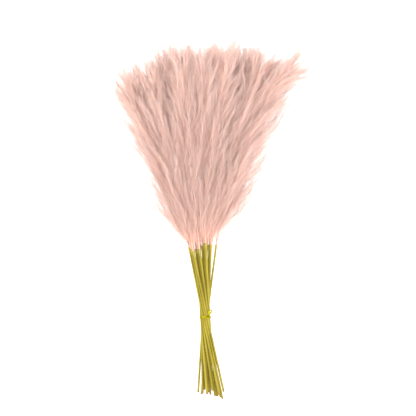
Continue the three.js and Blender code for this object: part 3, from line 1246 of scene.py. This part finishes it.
@dataclass
class TwistTie:
    """The foil ribbon with a wire core that gathers the stems."""

    ground: Ground
    finish: bpy.types.Material
    width: float = 1.8
    thickness: float = 0.3
    core: float = 0.3
    clearance: float = 0.3
    band_gap: float = 0.1
    corners: int = 96
    twisted_turns: float = 1.25
    twisted_offset: float = 0.42
    knot_at: float = 0.12
    cad_corners: int = 36
    cad_thickness: float = 0.45
    strand_width: float = 1.7
    strand_end_width: float = 1.2
    twisted_points: int = 10
    smooth_steps: int = 6
    free_from: int = 60
    free_over: float = 10.0

    LOOP_END = (
        (1.5, 5.1, 3.3),
        (3.3, 6.3, 3.7),
        (3.8, 8.1, 4.1),
        (2.5, 9.5, 4.4),
        (-0.2, 10.2, 4.7),
    )
    SHORT_END = ((0.7, 5.9, 3.6), (0.6, 7.7, 4.1), (1.7, 9.2, 4.4))
    TWISTED_END = (0.9, 4.3, 2.7)

    def _outline(self, clear: float, corners: int, half_step: float = 0.0) -> "list[Vector]":
        """Draws a line round all stems under the tie.

        Args:
            clear: Its distance from them.
            corners: The number of its points.
            half_step: How far its points are turned, in steps.

        Returns:
            The line's points, from the tie.
        """
        seats = [stem.low(t) for stem in STEMS for t in (-self.width / 2, self.width / 2)]
        line = []
        for k in range(corners):
            angle = 2.0 * math.pi * (k + half_step) / corners
            out = Vector((math.cos(angle), 0.0, math.sin(angle)))
            far = max(seats, key=lambda p: p.dot(out))
            reach = PLAN.stem_diameter / 2 + clear
            line.append(Vector((far.x, 0.0, far.z)) + out * reach)
        return line

    def _section(self, width: float) -> "list[tuple[float, float]]":
        """Draws the ribbon's cross section: thin wings on a raised wire.

        Args:
            width: The ribbon's width.

        Returns:
            The section's corners.
        """
        half, thin, wire = width / 2, self.thickness / 2, self.core / 2 + self.thickness / 2
        wing = half * 0.35
        upper = [(half, thin), (wing, thin), (0.0, wire), (-wing, thin), (-half, thin)]
        return upper + [(-a, -b) for a, b in upper]

    def _sweep(
        self,
        mesh: bmesh.types.BMesh,
        line: Sequence[Vector],
        flats: Sequence[Vector],
        widths: Sequence[float],
        closed: bool,
    ) -> None:
        """Sweeps the ribbon along a line.

        Args:
            mesh: The mesh that it is added to.
            line: The line's points, from the tie.
            flats: The direction across the ribbon's width at each point.
            widths: The ribbon's width at each point.
            closed: Whether the line meets itself.
        """
        count = len(line)
        rings = []
        for i, (point, flat) in enumerate(zip(line, flats)):
            after = line[(i + 1) % count] if closed or i + 1 < count else line[i]
            before = line[i - 1] if closed or i else line[i]
            forward = (after - before).normalized()
            wide = (flat - forward * flat.dot(forward)).normalized()
            thick = forward.cross(wide)
            places = [point + wide * a + thick * b for a, b in self._section(widths[i])]
            rings.append([mesh.verts.new(self.ground.put(place)) for place in places])
        for low, high in zip(rings, rings[1:] + rings[:1] if closed else rings[1:]):
            for a, b, c, d in zip(low, low[1:] + low[:1], high[1:] + high[:1], high):
                mesh.faces.new((a, b, c, d))
        if not closed:
            mesh.faces.new(list(reversed(rings[0])))
            mesh.faces.new(rings[-1])

    def _band(self, mesh: bmesh.types.BMesh) -> None:
        """Adds the ribbon round the stems, tilted and a little uneven.

        Args:
            mesh: The mesh that it is added to.
        """
        line = self._outline(self.clearance + self.thickness / 2 + self.band_gap, self.corners)
        angles = [2.0 * math.pi * k / self.corners for k in range(self.corners)]
        for point, angle in zip(line, angles):
            point.y += 0.5 * math.sin(angle) + 0.35 * math.cos(angle) + 0.12 * math.sin(2 * angle)
        flats = [
            Vector((0.12 * math.sin(7 * k / 6), 1.0, 0.12 * math.cos(5 * k / 4)))
            for k in range(self.corners)
        ]
        widths = [
            self.width * (1.0 - 0.25 * math.cos(angle) + 0.06 * math.sin(k / 3))
            for k, angle in enumerate(angles)
        ]
        self._sweep(mesh, line, flats, widths, closed=True)

    def _strand(self, mesh: bmesh.types.BMesh, side: int, free: Sequence[tuple]) -> None:
        """Adds one of the two ends: twisted with the other, then free.

        Args:
            mesh: The mesh that it is added to.
            side: Which of the two it is, 0 or 1.
            free: The points of its free part, from the knot.
        """
        clear = self.clearance + self.cad_thickness / 2
        outline = self._outline(clear, self.cad_corners, half_step=0.5)
        start = outline[round(self.cad_corners * self.knot_at)]
        end = Vector(self.TWISTED_END)
        way = end.normalized()
        across = Vector((1.0, 0.0, 0.0)).cross(way).normalized()
        over = way.cross(across)
        points = []
        for k in range(self.twisted_points + 1):
            share = k / self.twisted_points
            angle = 2.0 * math.pi * self.twisted_turns * share + side * math.pi
            swing = across * math.cos(angle) + over * math.sin(angle)
            points.append(start + end * share + swing * self.twisted_offset)
        points += [start + Vector(p) for p in free]
        line = smooth_line(points, self.smooth_steps)
        flats = []
        for k, point in enumerate(line):
            angle = 0.9 + k * 0.11 + side * 1.3
            wound = Vector((math.cos(angle), 0.25, math.sin(angle))).normalized()
            ahead = line[min(k + 1, len(line) - 1)] - line[max(k - 1, 0)]
            lying = ahead.cross(Vector(UP)).normalized()
            loose = min(max((k - self.free_from) / self.free_over, 0.0), 1.0)
            if wound.dot(lying) < 0.0:
                lying = -lying
            flats.append(wound * (1.0 - loose) + lying * loose)
        widths = [self.strand_width] * (len(line) - 1) + [self.strand_end_width]
        self._sweep(mesh, line, flats, widths, closed=False)

    def build(self) -> bpy.types.Object:
        """Builds the tie.

        Returns:
            The finished piece.
        """
        made = bmesh.new()
        self._band(made)
        self._strand(made, 0, self.LOOP_END)
        self._strand(made, 1, self.SHORT_END)
        bmesh.ops.recalc_face_normals(made, faces=made.faces)
        mesh = bpy.data.meshes.new("foil_tie")
        made.to_mesh(mesh)
        made.free()
        mesh.materials.append(self.finish)
        mesh.shade_smooth()
        piece = placed("foil_tie", mesh)
        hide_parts("twist_tie")
        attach(piece, BODY)
        return piece


# ---- Studio ------------------------------------------------------------------------------------


@dataclass
class Studio:
    """A plain white table, soft light and a camera that looks straight down."""

    ground: Ground
    table_size: float = 24.0
    focus_x: float = 3.5
    focus_y: float = 137.1
    focus_z: float = 40.0
    seen: float = 518.6
    distance: float = 3.0
    sensor: float = 36.0
    surround: float = 2.1

    LAMPS = (
        ("key", (-0.9, 0.7, 1.6), 1.2, 17.0),
        ("fill", (1.2, -0.6, 1.4), 1.6, 8.0),
    )

    def table(self) -> None:
        """Adds the table top."""
        half = self.table_size / 2
        corners = [(-half, -half, 0), (half, -half, 0), (half, half, 0), (-half, half, 0)]
        mesh = bpy.data.meshes.new("table_top")
        mesh.from_pydata(corners, [], [(0, 1, 2, 3)])
        mesh.materials.append(TableFinish().build())
        top = placed("table_top", mesh)
        top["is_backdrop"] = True

    def camera(self) -> None:
        """Adds the camera, straight above the bunch's middle."""
        lens = bpy.data.cameras.new("camera")
        lens.sensor_width = self.sensor
        lens.lens = self.sensor * self.distance / (self.seen * MM)
        lens.clip_start, lens.clip_end = 0.05, 60.0
        eye = placed("camera", lens)
        focus = Vector((self.focus_x + self.ground.x, self.focus_y + self.ground.y, self.focus_z))
        eye.location = focus * MM + Vector((0.0, 0.0, self.distance))
        bpy.context.scene.camera = eye

    def lamp(self, name: str, place: tuple, size: float, power: float) -> None:
        """Adds one soft square lamp that faces the bunch.

        Args:
            name: The lamp's name.
            place: Where it hangs, in metres.
            size: Its width, in metres.
            power: Its power, in watts.
        """
        light = bpy.data.lights.new(name, "AREA")
        light.size = size
        light.energy = power
        lamp = placed(name, light)
        lamp.location = place
        lamp.rotation_euler = (-Vector(place)).to_track_quat("-Z", "Y").to_euler()
        lamp.visible_camera = False

    def light(self) -> None:
        """Adds the lamps and the white surround."""
        world = bpy.data.worlds.new("surround")
        world.use_nodes = True
        back = world.node_tree.nodes["Background"]
        back.inputs["Color"].default_value = WHITE
        back.inputs["Strength"].default_value = self.surround
        bpy.context.scene.world = world
        for lamp in self.LAMPS:
            self.lamp(*lamp)
        bpy.context.scene.view_settings.view_transform = "Standard"
        bpy.context.scene.view_settings.look = "None"

    def build(self) -> None:
        """Sets the whole studio."""
        self.camera()
        self.table()
        self.light()


# ---- The whole ---------------------------------------------------------------------------------


@dataclass
class Bunch:
    """The tied bunch: its stems, its plumes and its tie."""

    ground: Ground

    def build(self) -> None:
        """Builds every piece and reports it."""
        culms = Culms(self.ground, CulmFinish().build())
        plumes = Plumes(self.ground, HairFinish().build(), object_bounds()[1][0])
        tie = TwistTie(self.ground, FoilFinish().build())
        for stem in STEMS:
            report(culms.build(stem))
            report(plumes.build(stem))
        report(tie.build())


def report(piece: bpy.types.Object) -> None:
    """Logs one piece with its triangles and its box.

    Args:
        piece: The finished piece.
    """
    mesh = piece.data
    triangles = sum(len(face.vertices) - 2 for face in mesh.polygons)
    low = [min(corner[i] for corner in piece.bound_box) for i in range(3)]
    high = [max(corner[i] for corner in piece.bound_box) for i in range(3)]
    box = " ".join(f"{a / MM:.1f}..{b / MM:.1f}" for a, b in zip(low, high))
    log.info("%s: %d triangles, mm %s", piece.name, triangles, box)


def main() -> None:
    """Builds the bunch and its studio."""
    logging.basicConfig(level=logging.INFO, format="%(name)s %(message)s")
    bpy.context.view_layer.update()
    ground = Ground.found()
    log.info("the tie is at %.3f, %.3f, %.3f mm", ground.x, ground.y, ground.z)
    Studio(ground).build()
    Bunch(ground).build()


if __name__ == "__main__":
    main()
